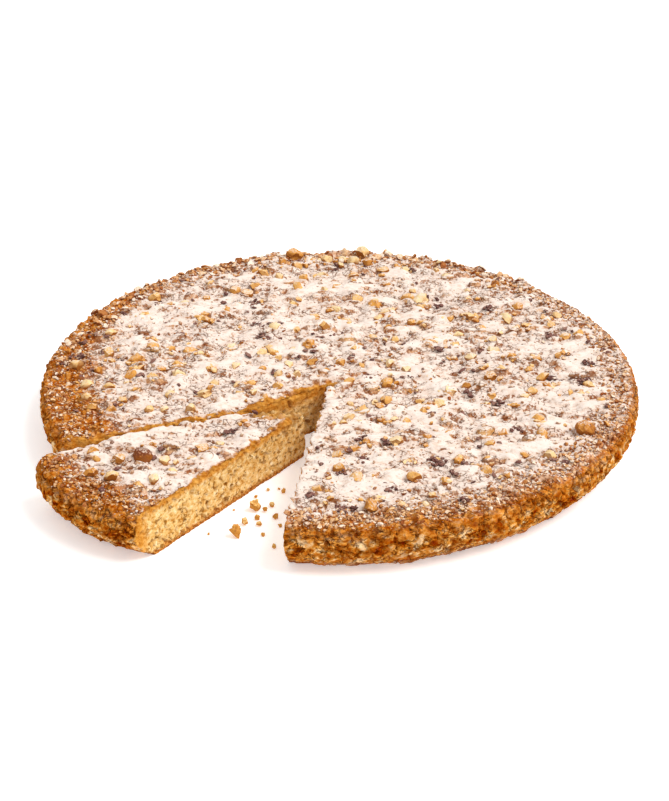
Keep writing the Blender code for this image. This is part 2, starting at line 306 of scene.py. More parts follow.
# Where the sugar ends, as (direction in degrees, distance in mm) round each middle.
CAKE_SUGAR_EDGE = (
    (-180, 118), (-150, 116), (-125, 118), (-98, 131), (-70, 132), (-40, 136), (0, 141),
    (45, 141), (90, 138), (135, 132), (180, 118),
)
SLICE_SUGAR_EDGE = (
    (-180, 71), (-165, 66), (-150, 60), (-135, 59), (-120, 61), (-105, 68), (180, 71),
)


def cut_corners():
    """The corners in plan of each piece's crumbling cut edges, and of the slice's point."""
    across = (LEFT_CUT_START - NOTCH_TIP).orthogonal().normalized()
    torn = NOTCH_TIP.lerp(LEFT_CUT_START, 0.5) + across * TORN_BULGE
    left_end = LEFT_CUT_START + direction(LEFT_CUT_ANGLE) * CUT_REACH
    notch = (NOTCH_TIP, torn, LEFT_CUT_START, left_end)
    right, left = direction(SLICE_RIGHT_ANGLE), direction(SLICE_LEFT_ANGLE)
    broken = SLICE_POINT + right * SLICE_RIGHT_BREAK, SLICE_POINT + left * SLICE_LEFT_BREAK
    return notch, (SLICE_POINT + right * CUT_REACH, broken[0]), broken


def dense_copy(node, voxel):
    """The CAD node's shape as one even mesh, in mm, and the CAD faces as a tree."""
    source = bpy.data.objects[node]
    mesh = source.data.copy()
    form = bmesh.new()
    form.from_mesh(mesh)
    bmesh.ops.remove_doubles(form, verts=form.verts, dist=0.00001)
    form.to_mesh(mesh)
    tree = BVHTree.FromBMesh(form)
    form.free()
    obj = bpy.data.objects.new(node + "_dense", mesh)
    bpy.context.scene.collection.objects.link(obj)
    remesh = obj.modifiers.new("even", "REMESH")
    remesh.mode = "VOXEL"
    remesh.voxel_size = voxel * MM
    graph = bpy.context.evaluated_depsgraph_get()
    dense = bpy.data.meshes.new_from_object(obj.evaluated_get(graph))
    bpy.data.objects.remove(obj)
    return dense, tree


def vertex_array(mesh, attribute="co"):
    values = np.empty(len(mesh.vertices) * 3)
    if attribute == "co":
        mesh.vertices.foreach_get("co", values)
    else:
        mesh.vertex_normals.foreach_get("vector", values)
    return values.reshape(-1, 3)


def bent(points, reach, length, offset):
    """The points moved about, so that a pattern on them loses its regular look."""
    shifts = [reach * grain(points, length, offset + 7 * axis) for axis in range(3)]
    return points + np.array(shifts).T


def distance_to_edges(points, corners):
    """Distance in plan from the lines that join these corners."""
    nearest = np.full(len(points), 1e9)
    for start, end in zip(corners, corners[1:]):
        start, end = np.array(start), np.array(end)
        along = end - start
        share = np.clip((points[:, :2] - start) @ along / (along @ along), 0, 1)
        gap = points[:, :2] - start - share[:, None] * along
        nearest = np.minimum(nearest, np.hypot(gap[:, 0], gap[:, 1]))
    return nearest


def cells(points, size, offset=0.0):
    """(dome, crack) of rounded lumps about this many mm across: a dome rises to 1 in the
    middle of a lump, and a crack is 1 between two."""
    shift = Vector((offset, offset * 0.6, offset * 1.7))
    found = np.array([noise.voronoi(Vector(p) / size + shift)[0][:2] for p in points])
    dome = 1 - np.clip(found[:, 0] * 1.25, 0, 1) ** 2
    return dome, 1 - smoothstep(0.02, 0.3, found[:, 1] - found[:, 0])


def mounds(points, bedded):
    """How high the food rises round the pieces bedded in it. Each is (place, size, share)."""
    rise = np.zeros(len(points))
    index = np.floor(points[:, :2] / MOUND_CELL).astype(int)
    order = {}
    for number, key in enumerate(map(tuple, index)):
        order.setdefault(key, []).append(number)
    for place, size, share in bedded:
        x, y = math.floor(place.x / MOUND_CELL), math.floor(place.y / MOUND_CELL)
        near = [n for i in (-1, 0, 1) for j in (-1, 0, 1) for n in order.get((x + i, y + j), ())]
        if not near:
            continue
        reach = np.hypot(*(points[near, :2] - np.array(place)).T) / size
        rise[near] = np.maximum(rise[near], size * share * (1 - smoothstep(0.4, 1.5, reach)))
    return rise


def food_body(
    name, node, voxel, centre, radius, sugar_edge, richness, toast, fray, edges, broken, bedded,
):
    """The food itself: crags, pits and crumb on the CAD node's shape, with its FINISHES as
    attributes. Each pattern is given as its lumps' size in mm and a shift that sets it
    apart from the others."""
    nuts_in, dark_in = bedded
    mesh, tree = dense_copy(node, voxel)
    points = vertex_array(mesh) / MM
    normals = vertex_array(mesh, "normal")
    away = points[:, :2] - np.array(centre)
    distance = np.maximum(np.hypot(away[:, 0], away[:, 1]), TINY)
    angle = np.degrees(np.arctan2(away[:, 1], away[:, 0]))

    # The nuts' lumps come off the body, because the nuts are pieces of their own.
    surface = np.array([top_height(Vector(p[:2]), centre, radius) for p in points])
    inner = distance < radius - SHOULDER_INSET
    shaved = np.minimum(points[:, 2], surface + NUT_SCAR)
    points[:, 2] = np.where(inner, shaved, points[:, 2])

    cad_normal = np.array([tree.find_nearest(Vector(p) * MM)[1] for p in points])
    outward = (cad_normal[:, :2] * away).sum(1) / distance
    flat = np.maximum(np.hypot(cad_normal[:, 0], cad_normal[:, 1]), TINY)
    upright = smoothstep(*UPRIGHT, flat)
    on_rim = (distance > radius - WALL_DEPTH) & (outward / flat > FACING_OUT)
    side = upright * on_rim
    cut = upright * ~on_rim
    base = (points[:, 2] < 0.5 * voxel) & (normals[:, 2] < -0.5)
    cut[inner & (points[:, 2] > surface - CUT_BELOW)] = 0

    drawn = points * np.array(DRAWN_OUT)
    drift = grain(drawn, 9, 3) + 0.5 * grain(drawn, 4.5, 11)
    thick = smoothstep(0.05, 0.45, drift)
    fine = grain(points, 1.9, 5)
    loose = bent(points, 1.8, 4.5, 13)
    broad = cells(bent(drawn, 2.5, 7, 41), 7.5, 37)[0]
    dome, crack = cells(bent(drawn, 1.6, 4, 13), 4.2, 3)
    small_dome, small_crack = cells(bent(points, 0.9, 2.2, 29), 2.4, 9)
    ripple = np.abs(grain(bent(points * np.array(RIPPLE), 1.1, 6, 57), 3.6, 21))
    crease = (1 - smoothstep(0.0, 0.08, ripple)) * (1 - 0.6 * thick)
    torn = 1 - 2 * np.abs(grain(loose, 5.5, 151))
    crevice = smoothstep(0.72, 0.95, 1 - 2 * np.abs(grain(bent(points, 1.2, 3, 171), 4.2, 163)))
    pits = smoothstep(0.32, 0.55, grain(loose, 2.7, 47) + 0.35 * fine)
    pores = smoothstep(0.25, 0.55, grain(loose, 2.6, 61) + 0.4 * fine)

    edge = np.interp(angle, *np.array(sorted(sugar_edge)).T)
    edge = edge + 5 * grain(points, 17, 71) + 4 * grain(points, 5, 83)
    sugar = 1 - smoothstep(*SUGAR_FADE, distance - edge)
    from_cut = distance_to_edges(points, edges) + 3.2 * grain(points, 4.5, 97) + 1.4 * fine
    frayed = 1 - smoothstep(fray - FRAY_FADE, fray, from_cut)
    from_break = distance_to_edges(points, broken) + 4 * grain(points, 4, 113)
    crumbled = 1 - smoothstep(*CRUMBLED_REACH, from_break)
    sugar *= (1 - 0.9 * frayed) * (1 - crumbled) * richness
    thick *= sugar

    top = 1 - np.maximum(side, cut)
    nutty, dusky = mounds(points, nuts_in), mounds(points, dark_in)
    mound = np.maximum(nutty, dusky)
    bare = 0.3 * dome + 0.2 * small_dome + 4.6 * ripple - 0.3 * crack - 0.5 * crevice - 1.2
    rough_top = (1 - 0.65 * thick) * bare + thick * THICK_RISE
    rough_top = rough_top + 0.25 * fine + 1.3 * broad - 0.9
    rough_top += 0.5 * drift - 0.7 * frayed * (0.6 + fine)
    rough_side = 0.3 * small_dome + 0.5 * fine + 0.8 * torn
    rough_side -= 1.3 * crevice + 0.9 * pits + 0.4
    rough_cut = 0.4 * small_dome + 0.5 * fine + 0.4 * torn - 1.1 * pores - 0.3
    depth = top * (rough_top + mound) + side * rough_side + cut * rough_cut
    depth[base] = 0
    depth[(points[:, 2] < FOOT_HEIGHT) & ~base] *= 0.5
    points += normals * depth[:, None]
    points[:, 2] -= crumbled * (0.03 + 0.06 * torn + 0.05 * fine) * points[:, 2]
    points[base, 2] = 0
    under_top = np.maximum(surface - points[:, 2], 0)
    under_crust = np.minimum(under_top, (radius - distance) * 0.38) + 0.9 * fine + 0.8 * torn
    bake = 1 - smoothstep(0.5 * toast, 1.2 * toast, under_crust)
    bake *= 1 - 0.5 * crumbled
    cut = np.maximum(cut, top * np.maximum(0.9 * frayed, crumbled))

    low_corner, high_corner = (np.array(corner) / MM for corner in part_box(node))
    points = np.clip(points, low_corner, high_corner)
    mesh.vertices.foreach_set("co", (points * MM).ravel())
    # Painted shade: the crack finish darkens the cracks, creases and crevices of the top, the
    # sunken parts of the wall and the pores of the cut, over the darker crust that shows there.
    gaps = crack * smoothstep(-0.2, 0.3, grain(points, 6, 131))
    deep = (1 - thick) * np.maximum(gaps, np.maximum(0.5 * small_crack * pits, crevice))
    deep = np.maximum(deep, top * crease * smoothstep(-0.3, 0.2, grain(points, 7, 211)))
    sunken = smoothstep(-0.3, -1.8, rough_side)
    shaded_hollows = np.clip((top + side) * deep + 0.6 * side * sunken + 0.7 * cut * pores, 0, 1)
    nutty, dusky = np.clip(nutty / 1.3, 0, 1), np.clip(dusky / 0.8, 0, 1)
    found = (sugar, thick, side, cut, bake, shaded_hollows, nutty, dusky)
    for title, values in zip(FINISHES, found):
        layer = mesh.attributes.new(title, "FLOAT", "POINT")
        layer.data.foreach_set("value", values.astype(np.float32))

    # One face closes the flat base.
    form = bmesh.new()
    form.from_mesh(mesh)
    under = [f for f in form.faces if all(v.co.z < 0.01 * MM for v in f.verts)]
    bmesh.ops.dissolve_faces(form, faces=under, use_verts=True)
    form.normal_update()
    form.to_mesh(mesh)
    form.free()
    mesh.shade_smooth()
    body = bpy.data.objects.new(name, mesh)
    bpy.context.scene.collection.objects.link(body)
    mesh.materials.clear()
    mesh.materials.append(sugared_crust)
    thin_out(body)
    points = np.clip(vertex_array(body.data) / MM, low_corner, high_corner)
    body.data.vertices.foreach_set("co", (points * MM).ravel())
    form = bmesh.new()
    form.from_mesh(body.data)
    skin = BVHTree.FromBMesh(form)
    form.free()
    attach(body, "root")
    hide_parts(node)
    return body, skin


def thin_out(body):
    """Takes triangles out where the food is smoothest, down to what one piece may hold."""
    body.data.calc_loop_triangles()
    count = len(body.data.loop_triangles)
    if count <= MOST_TRIANGLES:
        return
    fewer = body.modifiers.new("fewer", "DECIMATE")
    fewer.ratio = MOST_TRIANGLES / count
    graph = bpy.context.evaluated_depsgraph_get()
    body.data = bpy.data.meshes.new_from_object(body.evaluated_get(graph))
    body.modifiers.clear()


# Lumps

A_TURN = 6.28
FINE_GRAIN = 0.31  # size of a lump's finer unevenness, as a share of its half width
CHOP_REACH = (0.55, 0.8)  # how far from a lump's middle a flat broken side lies
SHARP_ANGLE = math.radians(38)
DROP_HEIGHT = 60
LEAST_LANDING = 8  # a lump that would land lower than this lies beside the food
EDGE_BAND = 20  # the nuts nearer to the rim than this aren't sunk
NUT_SINKING, SLICE_NUT_SINKING = (0.2, 0.6), (0.5, 0.9)
WHOLE_NUT_SEED = 5


def lump(chance, fineness, unevenness, chops):
    """(points, faces) of one chopped bit, about 1 in half width, with flat broken sides."""
    form = bmesh.new()
    bmesh.ops.create_icosphere(form, subdivisions=fineness, radius=1)
    offset = Vector((chance.uniform(0, 99), 0, 0))
    for vertex in form.verts:
        rough = noise.noise(vertex.co / NUT_GRAIN + offset)
        rough += 0.5 * noise.noise(vertex.co / FINE_GRAIN + offset)
        vertex.co *= 1 + unevenness * rough
    for _ in range(chops):
        tilt = Euler([chance.uniform(0, 2 * math.pi) for _ in range(3)])
        facing = tilt.to_matrix() @ Vector((0, 0, 1))
        geometry = form.verts[:] + form.edges[:] + form.faces[:]
        opened = bmesh.ops.bisect_plane(
            form, geom=geometry, plane_co=facing * chance.uniform(*CHOP_REACH),
            plane_no=facing, clear_outer=True,
        )
        rim = [item for item in opened["geom_cut"] if isinstance(item, bmesh.types.BMEdge)]
        bmesh.ops.contextual_create(form, geom=rim)
    bmesh.ops.recalc_face_normals(form, faces=form.faces)
    form.verts.index_update()
    points = np.array([vertex.co[:] for vertex in form.verts])
    faces = [[vertex.index for vertex in face.verts] for face in form.faces]
    form.free()
    return points, faces


def strewn(name, lumps, material, replaced):
    """One mesh of many lumps. Each is (points, faces, place in mm as a matrix, tone)."""
    points, faces, tones, count = [], [], [], 0
    for shape, loops, place, tone in lumps:
        matrix = np.array(place)
        points.append(shape @ matrix[:3, :3].T + matrix[:3, 3])
        faces += [[count + n for n in loop] for loop in loops]
        tones.append(np.full(len(shape), tone))
        count += len(shape)
    box_low, box_high = (np.array(corner) / MM for corner in CAD_BOX)
    points = np.clip(np.concatenate(points), box_low, box_high)
    mesh = bpy.data.meshes.new(name)
    mesh.from_pydata(points * MM, [], faces)
    layer = mesh.attributes.new("tone", "FLOAT", "POINT")
    layer.data.foreach_set("value", np.concatenate(tones).astype(np.float32))
    mesh.shade_smooth()
    mesh.set_sharp_from_angle(angle=SHARP_ANGLE)
    mesh.materials.append(material)
    piece = bpy.data.objects.new(name, mesh)
    bpy.context.scene.collection.objects.link(piece)
    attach(piece, "root")
    if replaced:
        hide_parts(*replaced)
    return piece


def placed(x, y, z, size, stretch, turn, up=None):
    """A matrix in mm that turns, stretches and places a lump, tipped to stand along up."""
    tip = Vector((0, 0, 1)).rotation_difference(up).to_matrix() if up else Matrix.Identity(3)
    spin = Euler(turn).to_matrix()
    shape = Matrix.Diagonal([size * share for share in stretch])
    return Matrix.Translation((x, y, z)) @ (tip @ spin @ shape).to_4x4()


def frame_nuts(lumps, bedded):
    """The nuts of the frame's solids, each at its own place, height and turn."""
    chance = random.Random(NUT_SEED)
    looks = random.Random(19)
    on_round = Vector((0, 0)), ROUND_RADIUS, NUT_SINKING
    on_drawn = SLICE_RIM_CENTRE, SLICE_RIM_RADIUS, SLICE_NUT_SINKING
    for allowed, named, count, (centre, radius, depths) in (
        (on_cake, BIG_NUTS, NUT_COUNT, on_round),
        (on_slice, BIG_NUTS_OF_SLICE, SLICE_NUT_COUNT, on_drawn),
    ):
        for place, size in scattered(allowed, named, count, chance):
            chance.uniform(0, 99)
            stretch = 1.0, chance.uniform(*NUT_WIDTHS), NUT_FLATNESS
            tilt = chance.uniform(-NUT_TILT, NUT_TILT), chance.uniform(-NUT_TILT, NUT_TILT)
            turn = (*tilt, chance.uniform(0, 2 * math.pi))
            rise = top_height(place, centre, radius) + size * NUT_FLATNESS * (1 - 2 * NUT_SUNK)
            large = size > NUT_LARGE
            shape, faces = lump(looks, 3, 0.35, 1) if large else lump(looks, 2, 0.4, 3)
            sunk = looks.uniform(*depths) * size * (place.length < ROUND_RADIUS - EDGE_BAND)
            if tuple(place) in BROWN_NUTS:
                # These two are whole, with their skin on, and lie on top.
                sunk = 0
                shape, faces = lump(random.Random(WHOLE_NUT_SEED), 3, 0.3, 0)
            matrix = placed(place.x, place.y, rise - sunk, size, stretch, turn)
            tone = looks.uniform(0.2, 1)
            lumps.append((shape, faces, matrix, BROWN_NUTS.get(tuple(place), tone)))
            bedded.append((place, size, looks.uniform(0.1, 0.35)))


def bed(lumps, chance, place, size, stretch, sunk, shapes):
    """Beds one lump in the top at this place, unless there is no food there."""
    if on_cake(place, 5, 2):
        centre, radius = Vector((0, 0)), ROUND_RADIUS
    elif on_slice(place, 5, 2):
        centre, radius = SLICE_RIM_CENTRE, SLICE_RIM_RADIUS
    else:
        return False
    turn = [chance.uniform(-0.5, 0.5), chance.uniform(-0.5, 0.5), chance.uniform(0, A_TURN)]
    reach = [part * chance.uniform(0.8, 1.2) for part in stretch]
    rise = top_height(place, centre, radius) + size * stretch[2] * (1 - 2 * sunk)
    shape, faces = shapes[chance.randrange(len(shapes))]
    matrix = placed(place.x, place.y, rise, size, reach, turn)
    lumps.append((shape, faces, matrix, chance.random()))
    return True


def bedded_bits(lumps, bedded, seed, count, sizes, stretch, sunk, shapes, rise, beside=()):
    """Smaller pieces bedded in the top, some of them beside the larger ones. The food rises
    round each by about this share of its size."""
    chance = random.Random(seed)
    added = 0
    while added < count:
        place = Vector((chance.uniform(-1, 1), chance.uniform(-1, 1))) * ROUND_RADIUS
        if beside and chance.random() < 0.5:
            near, width, _ = beside[chance.randrange(len(beside))]
            away = direction(chance.uniform(0, A_TURN))
            place = near + away * (width + chance.uniform(0.5, 3))
        size = sizes[0] + (sizes[1] - sizes[0]) * chance.random() ** 1.5
        if bed(lumps, chance, place, size, stretch, sunk, shapes):
            bedded.append((place, size, rise * chance.uniform(0.5, 1.3)))
            added += 1


def nut_clusters(lumps, bedded, seed):
    """Larger nuts with splinters round them, sunk together in one mound."""
    chance = random.Random(seed)
    for x, y, half in NUT_CLUSTERS:
        middle = Vector((x, y))
        bedded.append((middle, half, 0.3))
        bed(lumps, chance, middle, 0.72 * half, (1.1, 0.8, 0.55), 0.35, chopped)
        for _ in range(int(half / 0.9)):
            away = direction(chance.uniform(0, A_TURN))
            place = middle + away * half * chance.uniform(0.6, 1.1)
            splinter = half * chance.uniform(0.25, 0.5)
            bed(lumps, chance, place, splinter, (1.2, 0.8, 0.6), 0.3, chopped)


def dark_clusters(lumps, bedded, seed):
    """Crumbled dark skins that lie close together."""
    chance = random.Random(seed)
    for x, y, half in DARK_CLUSTERS:
        middle = Vector((x, y))
        bedded.append((middle, half, 0.25))
        for _ in range(int(1.1 * half * half) + 4):
            away = direction(chance.uniform(0, A_TURN))
            place = middle + away * half * chance.random() ** 0.6
            bed(lumps, chance, place, chance.uniform(0.5, 1.25), (1, 0.85, 0.6), 0.15, ragged)


def dropped(skins, place):
    """Where a lump dropped at this place lands on the bodies, and the way up there."""
    best = None
    above = Vector((place.x, place.y, DROP_HEIGHT)) * MM
    for skin in skins:
        hit, normal, _, _ = skin.ray_cast(above, Vector((0, 0, -1)))
        if hit and (best is None or hit.z > best[0].z):
            best = hit, normal
    if best is None or best[0].z < LEAST_LANDING * MM:
        return None
    return best[0] / MM, best[1]


def bits(seed, count, skins, sizes, stretch, sunk, allowed, shapes):
    """Lumps dropped at random places on the food, as densely as allowed says."""
    chance = random.Random(seed)
    lumps = []
    for _ in range(count * 20):
        if len(lumps) >= count:
            break
        place = Vector((chance.uniform(-1, 1), chance.uniform(-1, 1))) * ROUND_RADIUS
        keep = chance.random()
        if keep > allowed(place):
            continue
        landed = dropped(skins, place)
        if landed is None:
            continue
        spot, up = landed
        size = sizes[0] + (sizes[1] - sizes[0]) * chance.random() ** 2
        turn = [chance.uniform(-0.6, 0.6), chance.uniform(-0.6, 0.6), chance.uniform(0, A_TURN)]
        reach = [share * chance.uniform(0.85, 1.15) for share in stretch]
        centre = spot + up * size * stretch[2] * (1 - 2 * sunk)
        shape, faces = shapes[chance.randrange(len(shapes))]
        matrix = placed(*centre, size, reach, turn, up)
        lumps.append((shape, faces, matrix, chance.random()))
    return lumps


# Materials

def principled(name):
    material = bpy.data.materials.new(name)
    material.use_nodes = True
    tree = material.node_tree
    return material, tree, tree.nodes["Principled BSDF"]


def make_sugared_crust():
    """Baked nut sponge crust under icing sugar: dull, open and crumbly. The dusting lies
    thick in smooth white patches, and the browned crust shows between them as fine dark
    grains, with painted shade in the cracks. The cut crumb is pale and open, under a golden
    band. Shade is also painted into the wall's hollows and torn strands, the crumb's pores
    and the wall's foot."""
    material, tree, shader = principled("sugared_crust")
    place = add(tree, "TexCoord", out="Object")
    place = add(tree, "VectorMath", place, (0.72, 1, 1), operation="MULTIPLY")

    def speckle(size, detail, rough=0.6, shift=0.0):
        """Specks about this many mm apart."""
        moved = add(tree, "VectorMath", place, (shift, shift, shift), operation="ADD")
        inputs = {"Vector": moved, "Scale": 1 / (size * MM), "Detail": detail, "Roughness": rough}
        return add(tree, "TexNoise", inputs, out="Fac")

    def pebbles(size, wander, feature):
        """Rounded grains about this many mm across: the distance from a grain's edge or
        middle."""
        bend = add(tree, "TexNoise", {"Vector": place, "Scale": 1 / (size * MM)}, out="Color")
        reach = (wander * size * MM,) * 3
        moved = add(tree, "VectorMath", bend, reach, place, operation="MULTIPLY_ADD")
        inputs = {"Vector": moved, "Scale": 1 / (size * MM)}
        return add(tree, "TexVoronoi", inputs, out="Distance", feature=feature)

    sugar, thick, side, cut, bake, crack, nutty, dusky = (
        add(tree, "Attribute", out="Fac", attribute_name=title) for title in FINISHES
    )
    coarse, medium = speckle(5.0, 2), speckle(2.2, 3, shift=0.3)
    fine, grit = speckle(1.0, 3, shift=0.7), speckle(0.6, 2, shift=1.1)
    flecks, clods = speckle(2.1, 4, 0.68, 2.3), speckle(4.2, 5, 0.66, 4.9)
    uneven = total(tree, -0.5, (medium, 1))
    # On the top the cracks' painted shade breaks up into single dark grains.
    relief = add(tree, "Math", side, cut, operation="MAXIMUM")
    grains = total(tree, -1.3, (crack, 1), (fine, 1.6), (grit, 1))
    grains = mask(tree, (grains, 0.35, 0.7))
    softer = total(tree, 0, (crack, 0.7), (grains, -1))
    crack = total(tree, grains, (relief, softer))
    between = pebbles(2.3, 0.9, "DISTANCE_TO_EDGE")
    seams = mask(tree, (between, 0.09, 0.02), (coarse, 0.48, 0.60))
    from_dot = pebbles(1.0, 1.2, "F1")
    chosen = add(tree, "SeparateColor", from_dot.node.outputs["Color"])
    often = total(tree, chosen, (uneven, 1.4), (dusky, 0.4))
    dark_dot = mask(tree, (often, 0.88, 0.96), (from_dot, 0.46, 0.3))
    pale_dot = mask(tree, (chosen, 0.55, 0.5), (from_dot, 0.42, 0.25))
    height = add(tree, "SeparateXYZ", place, out="Z")
    # The wall's torn strands: its dark crust there, painted darker still as shade in the crevices.
    inputs = {"Vector": place, "Scale": 1 / (3.2 * MM), "Detail": 3, "Distortion": 1.2}
    strands = total(tree, -0.5, (add(tree, "TexNoise", inputs, out="Fac"), 1))
    strands = add(tree, "Math", strands, operation="ABSOLUTE")
    shaded_tears = mask(tree, (strands, 0.05, 0.015), (coarse, 0.42, 0.55))

    tones = (0.32, "#a2603c"), (0.43, "#cc946a"), (0.55, "#e6ba98"), (0.7, "#f2d4b4")
    crust = add(tree, "ValToRGB", medium, stops=tones)
    tones = (0.34, "#862e00"), (0.47, "#be640e"), (0.62, "#e6a04c")
    browner = add(tree, "ValToRGB", flecks, stops=tones)
    nut_dust = add(tree, "ValToRGB", fine, stops=((0.4, "#c88838"), (0.6, "#f0c480")))
    bare = mask(tree, (sugar, 0.6, 0.15))
    crust = coated(
        tree, crust, (bare, 1, browner), (nutty, 0.7, nut_dust), (seams, 0.6, "#6b3818"),
        (dusky, 0.5, "#6d4040"),
    )
    tones = (0.34, "#781a00"), (0.44, "#b8600a"), (0.54, "#e09a40"), (0.62, "#ffdaa4")
    wall = add(tree, "ValToRGB", clods, stops=tones)
    tones = (0.36, "#8e3800"), (0.47, "#c46c12"), (0.62, "#e89e4a")
    shoulder = add(tree, "ValToRGB", flecks, stops=tones)
    browned = mask(tree, (coarse, 0.5, 0.38))
    band = mask(tree, (total(tree, height, (coarse, 0.008)), 0.0205, 0.0260))
    ragged_height = total(tree, height, (medium, 0.006))
    # Painted shadow: the wall turns darker brown towards its foot, where it stands on the floor.
    painted_foot_shadow = mask(tree, (ragged_height, 0.0085, 0.0045))
    wall = coated(
        tree, wall, (browned, 0.3, "#924002"), (band, 0.75, shoulder), (shaded_tears, 0.7, "#601800"),
        (painted_foot_shadow, 0.75, "#8a3e08"),
    )
    tones = (0.34, "#b8782c"), (0.44, "#deae64"), (0.56, "#edc98a"), (0.68, "#fbe4b8")
    crumb = add(tree, "ValToRGB", flecks, stops=tones)
    golden = add(tree, "ValToRGB", flecks, stops=((0.35, "#b4640f"), (0.65, "#eaa844")))
    under = add(tree, "ValToRGB", fine, stops=((0.4, "#8a4a14"), (0.6, "#cb8a42")))
    # Painted shade in the crumb's pores, as darker brown spots.
    shaded_pore = mask(tree, (medium, 0.58, 0.63))
    sole = mask(tree, (ragged_height, 0.0064, 0.0044))
    crumb = coated(
        tree, crumb, (shaded_pore, 0.8, "#8e5c20"), (dark_dot, 0.6, "#7c5220"), (bake, 0.9, golden),
        (sole, 1, under),
    )
    # Painted shade in the cracks and hollows, laid over the darker crust and crumb that show
    # there; a deeper red-brown on the wall.
    hollow_shade = coated(tree, linear("#702f06"), (side, 1, "#641c00"))
    food = coated(tree, crust, (side, 1, wall), (cut, 1, crumb), (crack, 0.65, hollow_shade))

    thin = add(tree, "Math", 1.0, thick, operation="SUBTRACT", use_clamp=True)
    seams = total(tree, 0, (seams, thin))
    swell = total(tree, 0, (medium, 0.6), (fine, 0.4), (grit, 0.2), (seams, -0.35))
    # On the wall and the cuts the hollows are where the dark clods, flecks and pits are.
    coarser = total(tree, clods, (flecks, -1))
    rough = total(tree, flecks, (coarser, side))
    open_food = total(tree, 0, (rough, 1.3), (shaded_pore, -0.3), (swell, -1))
    torn = total(tree, 0, (shaded_tears, side))
    swell = total(tree, swell, (open_food, relief), (torn, -0.5))
    # Sugar stays on what faces up, and slides off the steep sides of every crag.
    lying = add(tree, "SeparateXYZ", add(tree, "NewGeometry", out="Normal"), out="Z")
    dust = total(tree, -1.0, (fine, 1), (grit, 1))
    grained = total(tree, 0, (total(tree, 3.0, (sugar, -1.1)), total(tree, 1.0, (thick, -0.7))))
    shade = total(
        tree, -3.16, (sugar, 1.1), (thick, 0.4), (uneven, 0.7), (coarse, 1.1), (dust, grained),
        (lying, 2.9), (crack, -0.55), (nutty, -0.2),
    )
    cover = total(tree, 0, (mask(tree, (shade, 0.35, 0.8)), total(tree, 0.88, (thick, 0.12))))
    near = mask(tree, (total(tree, sugar, (uneven, 1)), -0.25, 0.25))
    dusted = total(tree, 0, (total(tree, 0, (pale_dot, near)), 0.75))
    cover = add(tree, "Math", cover, dusted, operation="MAXIMUM")
    # None of it lies on the cuts, hardly any on the wall, and little in the seams.
    for bare_place, share in ((cut, 1), (side, 0.93), (seams, 0.75)):
        inputs = bare_place, -share, 1.0
        left = add(tree, "Math", *inputs, operation="MULTIPLY_ADD", use_clamp=True)
        cover = add(tree, "Math", cover, left, operation="MULTIPLY", use_clamp=True)
    powder = add(tree, "ValToRGB", medium, stops=((0.34, "#e8cfbc"), (0.5, "#f6e6da")))
    pepper = add(tree, "ValToRGB", coarse, stops=((0.4, "#5e3a2e"), (0.6, "#8e6448")))
    poor = mask(tree, (sugar, 0.45, 0.1))
    above = add(tree, "Math", thick, -0.5, 1.0, operation="MULTIPLY_ADD", use_clamp=True)
    speck = total(tree, 0, (dark_dot, above))
    powder = coated(tree, powder, (poor, 1, "#f2d0a2"), (speck, 0.8, pepper))
    colour = coated(tree, food, (cover, 1, powder))
    tree.links.new(colour, shader.inputs["Base Color"])
    shader.inputs["Roughness"].default_value = 0.95
    shader.inputs["Specular IOR Level"].default_value = 0.0
    # The powder fills the crust's grain and lies a little above it.
    filled = add(tree, "Math", cover, cut, operation="MAXIMUM")
    smooth = total(tree, 1.0, (filled, -0.5))
    swell = total(tree, 0, (total(tree, -0.6, (swell, 1)), smooth), (cover, 0.12))
    bump = add(tree, "Bump", {"Height": swell, "Strength": 1.0, "Distance": 0.0012})
    tree.links.new(bump, shader.inputs["Normal"])
    return material


LUMP_SUGAR = "#f4e2d0"
SPOT_SIZE = 0.9


def make_lump_material(name, stops, patch, under, grain_size, dust):
    """A broken lump whose tone differs from one to the next, with patches of its skin and a
    dusting of sugar on what faces up. Its lower sides get painted shade in the under colour."""
    material, tree, shader = principled(name)
    place = add(tree, "TexCoord", out="Object")
    tone = add(tree, "Attribute", out="Fac", attribute_name="tone")
    mottle, spots = (
        add(tree, "TexNoise", {"Vector": place, "Scale": 1 / (size * MM), "Detail": 3}, out="Fac")
        for size in (grain_size, SPOT_SIZE)
    )
    colour = add(tree, "ValToRGB", total(tree, -0.35, (mottle, 0.7), (tone, 1)), stops=stops)
    skin = add(tree, "MapRange", spots, 0.58, 0.7)
    up = add(tree, "SeparateXYZ", add(tree, "NewGeometry", out="Normal"), out="Z")
    # Some of the lumps lie deeper in the sugar than others.
    own = add(tree, "Math", total(tree, 0, (tone, 7.3)), operation="FRACT")
    buried = add(tree, "MapRange", own, 0.5, 1.0, 0.0, 0.1)
    lying = total(tree, buried, (up, spots))
    powder = add(tree, "MapRange", lying, 0.60 - dust, 0.90 - dust)
    # Painted shade: the lower sides turn to the under colour.
    shaded_below = add(tree, "MapRange", up, 0.75, 0.05)
    colour = coated(tree, colour, (skin, 1, patch), (powder, 1, LUMP_SUGAR), (shaded_below, 1, under))
    tree.links.new(colour, shader.inputs["Base Color"])
    shader.inputs["Roughness"].default_value = 0.75
    shader.inputs["Specular IOR Level"].default_value = 0.3
    bump = add(tree, "Bump", {"Height": spots, "Strength": 0.7, "Distance": 0.0006})
    tree.links.new(bump, shader.inputs["Normal"])
    return material


sugared_crust = make_sugared_crust()
# Each lump's under colour is painted shade on its lower sides.
# Roasted hazelnut, chopped: a cream to amber flesh with bits of brown skin.
hazelnut = make_lump_material(
    "chopped_hazelnut",
    ((0.0, "#7a3c18"), (0.1, "#bc7424"), (0.3, "#dc9a44"), (0.65, "#ecb668"), (1.0, "#f8dca6")),
    patch="#bc6e22", under="#a05c16", grain_size=1.6, dust=0.18,
)
